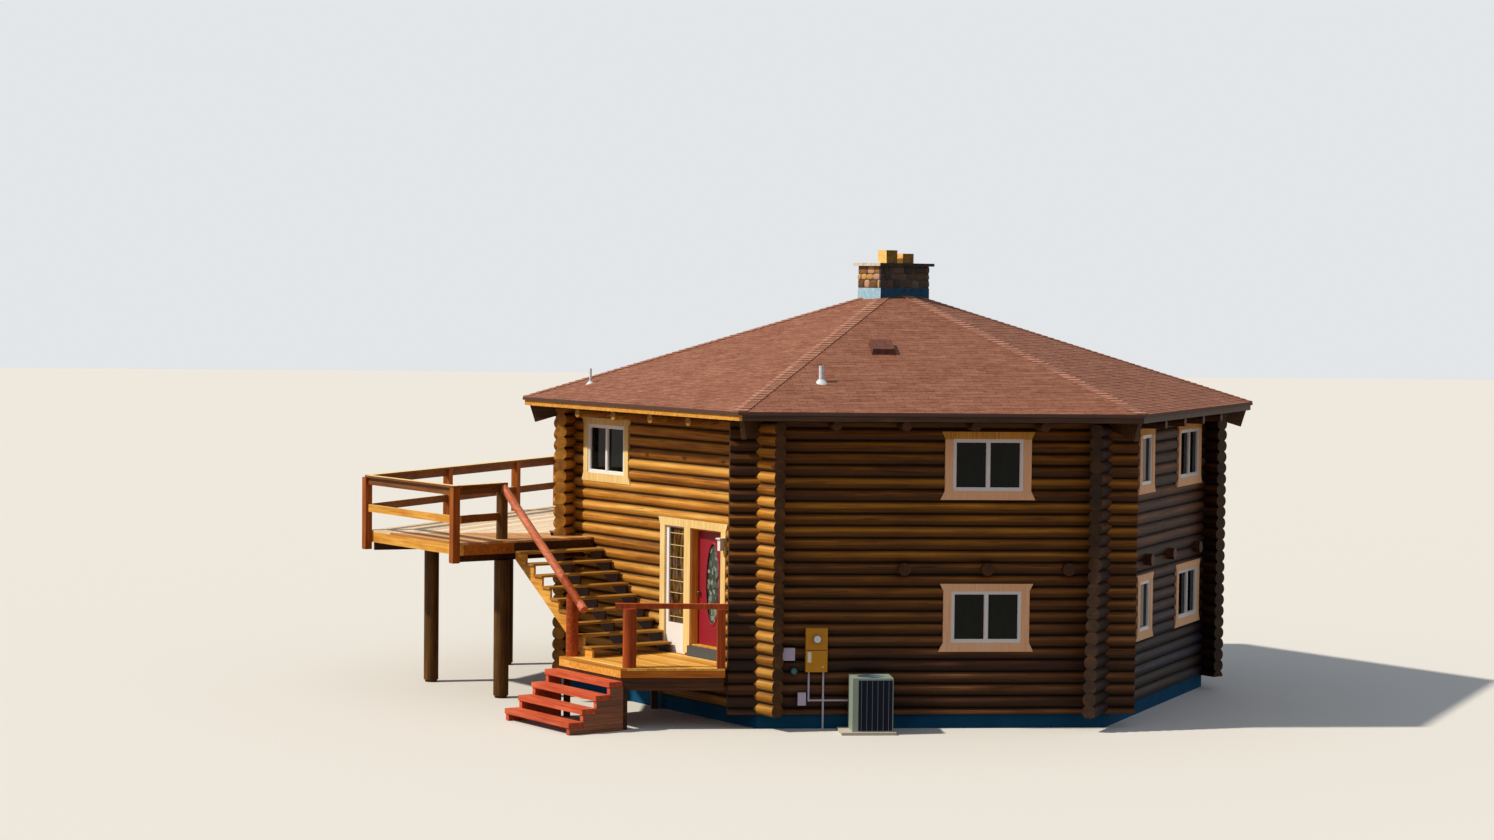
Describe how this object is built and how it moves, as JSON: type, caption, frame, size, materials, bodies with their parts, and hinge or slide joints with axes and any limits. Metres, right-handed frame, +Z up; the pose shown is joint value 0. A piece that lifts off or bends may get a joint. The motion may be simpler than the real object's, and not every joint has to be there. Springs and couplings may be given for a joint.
{
  "type": "log_house",
  "caption": "Two-storey six-sided log house with a raised deck, outside stair, landing, hipped shingle roof and a stone chimney.",
  "frame": {"origin": "middle of the foundation's underside, at ground level", "axes": "+Z up; the front wall faces -Y; +X is to the right seen from the front"},
  "size_m": [17.0238, 13.4749, 8.33],
  "materials": {
    "blue_painted_brick": "matte paint",
    "cap_concrete": "cast",
    "flue_clay": "unglazed",
    "rubble_stone": "mortared",
    "condenser_case": "enamel",
    "pad_concrete": "cast",
    "brown_timber": "weathered stain",
    "bleached_boards": "sun-bleached",
    "white_vinyl": "smooth",
    "yellow_timber": "clear stain",
    "leaded_glass": "textured, leaded",
    "bronze_knob": "aged",
    "grey_step": "painted",
    "crimson_paint": "satin paint",
    "painted_concrete": "matte paint, weathered",
    "red_timber": "red stain",
    "floor_planks": "plain sawn",
    "honey_logs": "clear stain",
    "meter_enamel": "enamel",
    "lantern_metal": "white enamel",
    "roof_shingles": "mineral granules on plank",
    "vent_metal": "matte",
    "service_grey": "enamel",
    "weathered_logs": "stained, weathered",
    "casing_wood": "pale stain",
    "clear_glass": "clear, dark room behind"
  },
  "bodies": {
    "house": {"chimney_base": "blue_painted_brick", "chimney_cap": "cap_concrete", "chimney_flues": "flue_clay", "chimney_stone": "rubble_stone", "condenser": "condenser_case", "condenser_pad": "pad_concrete", "deck_beams": "brown_timber", "deck_boards": "bleached_boards", "deck_door": "white_vinyl", "deck_frame": "yellow_timber", "deck_posts": "brown_timber", "deck_rails": "yellow_timber", "door_step": "grey_step", "entry_casing": "yellow_timber", "entry_frame": "white_vinyl", "fascia": "brown_timber", "floor_beams": "brown_timber", "foundation": "painted_concrete", "handrail": "red_timber", "hip_beams": "brown_timber", "inner_floors": "floor_planks", "landing_boards": "honey_logs", "landing_frame": "yellow_timber", "landing_rail": "red_timber", "lower_steps": "red_timber", "meter_box": "meter_enamel", "porch_lantern": "lantern_metal", "rafter_tails": "brown_timber", "rail_posts": "red_timber", "roof": "roof_shingles", "roof_vents": "vent_metal", "service_boxes": "service_grey", "soffit": "yellow_timber", "stair_stringers": "yellow_timber", "stair_treads": "yellow_timber", "wall_back": "weathered_logs", "wall_back_left": "honey_logs", "wall_back_right": "weathered_logs", "wall_front": "weathered_logs", "wall_front_left": "honey_logs", "wall_front_right": "weathered_logs", "wall_plates": "brown_timber", "window_casings": "casing_wood", "window_frames": "white_vinyl", "window_glass": "clear_glass"},
    "entry_leaf": {"entry_door": "crimson_paint", "door_glass": "leaded_glass", "door_handle": "bronze_knob"}
  },
  "joints": [
    {"name": "entry_door_hinge", "type": "hinge", "parent": "house", "child": "entry_leaf", "pos_m": [-3.446, -4.2794, 2.282], "axis": [0, 0, -1], "range_deg": [0, 90]}
  ]
}
